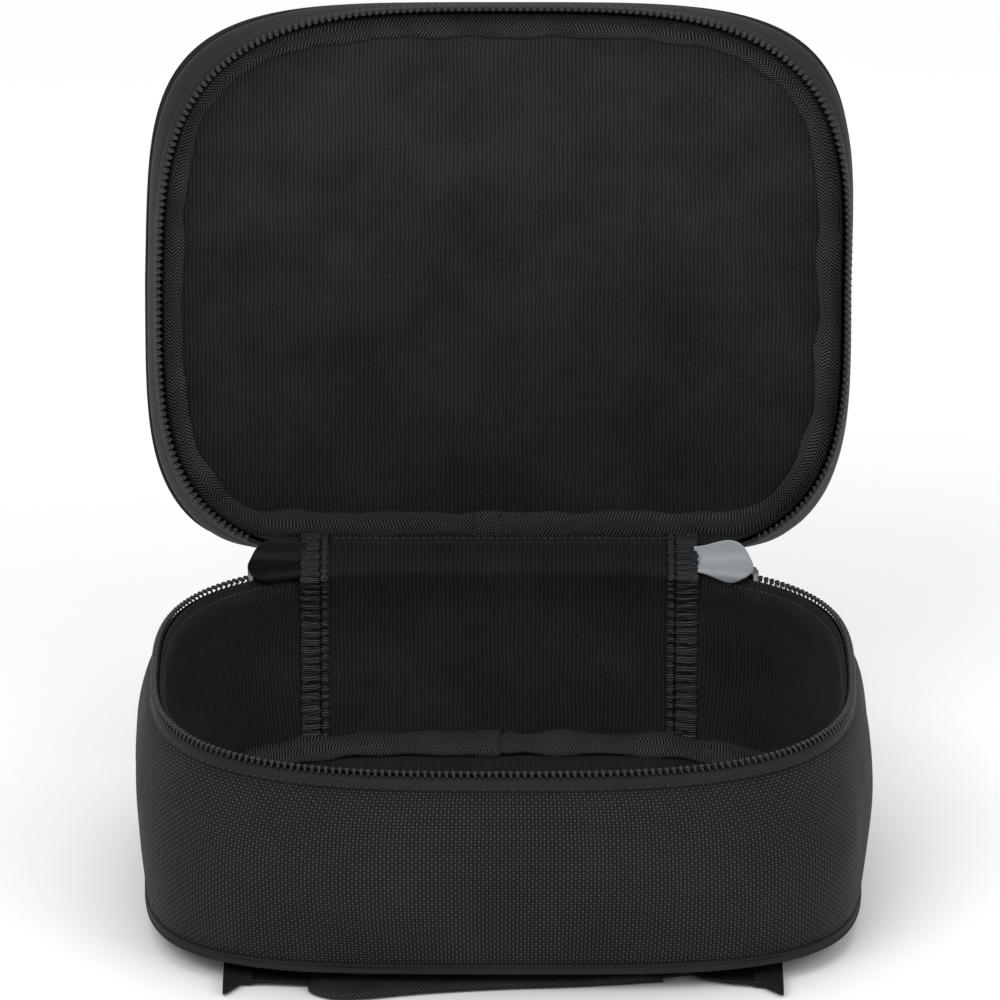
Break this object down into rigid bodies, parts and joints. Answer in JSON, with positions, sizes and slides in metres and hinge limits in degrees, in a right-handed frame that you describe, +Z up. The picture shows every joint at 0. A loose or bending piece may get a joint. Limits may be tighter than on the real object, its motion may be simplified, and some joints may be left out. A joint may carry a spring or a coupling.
{
  "type": "miniature carry case",
  "caption": "Soft padded carry case with a fabric-hinged lid that zips shut round three sides, a lined cavity for gaming miniatures and a flat carry strap underneath.",
  "frame": {"origin": "centre of the flat padded patch on the underside that the case stands on", "axes": "+Z up out of the open cavity, +X to the right along the hinge, -Y towards the front, opposite the hinge"},
  "size_m": [0.2238, 0.233, 0.2404],
  "materials": {
    "nylon_weave": "coarse matte basket weave",
    "smooth_tape": "smooth satin woven tape",
    "knit_lining": "finely ribbed matte knit",
    "twill_binding": "herringbone twill tape",
    "foam": "closed-cell foam, hidden",
    "zipper_coil": "glossy nylon coil",
    "black_tab": "satin coated fabric",
    "grey_tab": "satin coated fabric",
    "webbing": "flat ribbed webbing",
    "slider_metal": "satin gunmetal plating"
  },
  "bodies": {
    "base": {"base_wall": "nylon_weave", "base_wall_foam": "foam", "base_wall_lining": "knit_lining", "base_bottom_panel": "nylon_weave", "base_bottom_welt": "smooth_tape", "base_floor_foam": "foam", "base_floor_lining": "knit_lining", "base_floor_binding": "twill_binding", "back_panel": "nylon_weave", "back_panel_foam": "foam", "back_panel_lining": "knit_lining", "base_zipper_tape": "smooth_tape", "base_zipper_coil": "zipper_coil", "back_seam_tape_left": "twill_binding", "back_seam_tape_right": "twill_binding", "zipper_end_tab_left": "black_tab", "zipper_end_tab_right": "grey_tab", "handle_webbing": "webbing", "handle_grip": "twill_binding", "handle_end_tab_left": "webbing", "handle_end_tab_right": "webbing", "zipper_slider_left": "slider_metal", "zipper_slider_right": "slider_metal"},
    "lid": {"lid_panel": "nylon_weave", "lid_welt": "smooth_tape", "lid_gusset": "smooth_tape", "lid_gusset_lining": "knit_lining", "lid_foam": "foam", "lid_lining": "knit_lining", "lid_binding": "twill_binding", "lid_rear_skin": "nylon_weave", "lid_rear_lining": "knit_lining", "lid_zipper_tape": "smooth_tape", "lid_zipper_coil": "zipper_coil", "lid_seam_tape_left": "twill_binding", "lid_seam_tape_right": "twill_binding", "lid_end_tab_left": "black_tab", "lid_end_tab_right": "grey_tab"},
    "puller_left": {"zipper_puller_left": "slider_metal"},
    "puller_right": {"zipper_puller_right": "slider_metal"}
  },
  "joints": [
    {"name": "lid_hinge", "type": "hinge", "parent": "base", "child": "lid", "pos_m": [0, 0.0849, 0.071], "axis": [-1, 0, 0], "range_deg": [-102.4, 20]},
    {"name": "puller_left_swing", "type": "hinge", "parent": "base", "child": "puller_left", "pos_m": [-0.07594, 0.08263, 0.0665], "axis": [0.8976, 0.4408, 0], "range_deg": [0, 70]},
    {"name": "puller_right_swing", "type": "hinge", "parent": "base", "child": "puller_right", "pos_m": [0.07594, 0.08263, 0.0665], "axis": [0.8976, -0.4408, 0], "range_deg": [0, 70]}
  ]
}
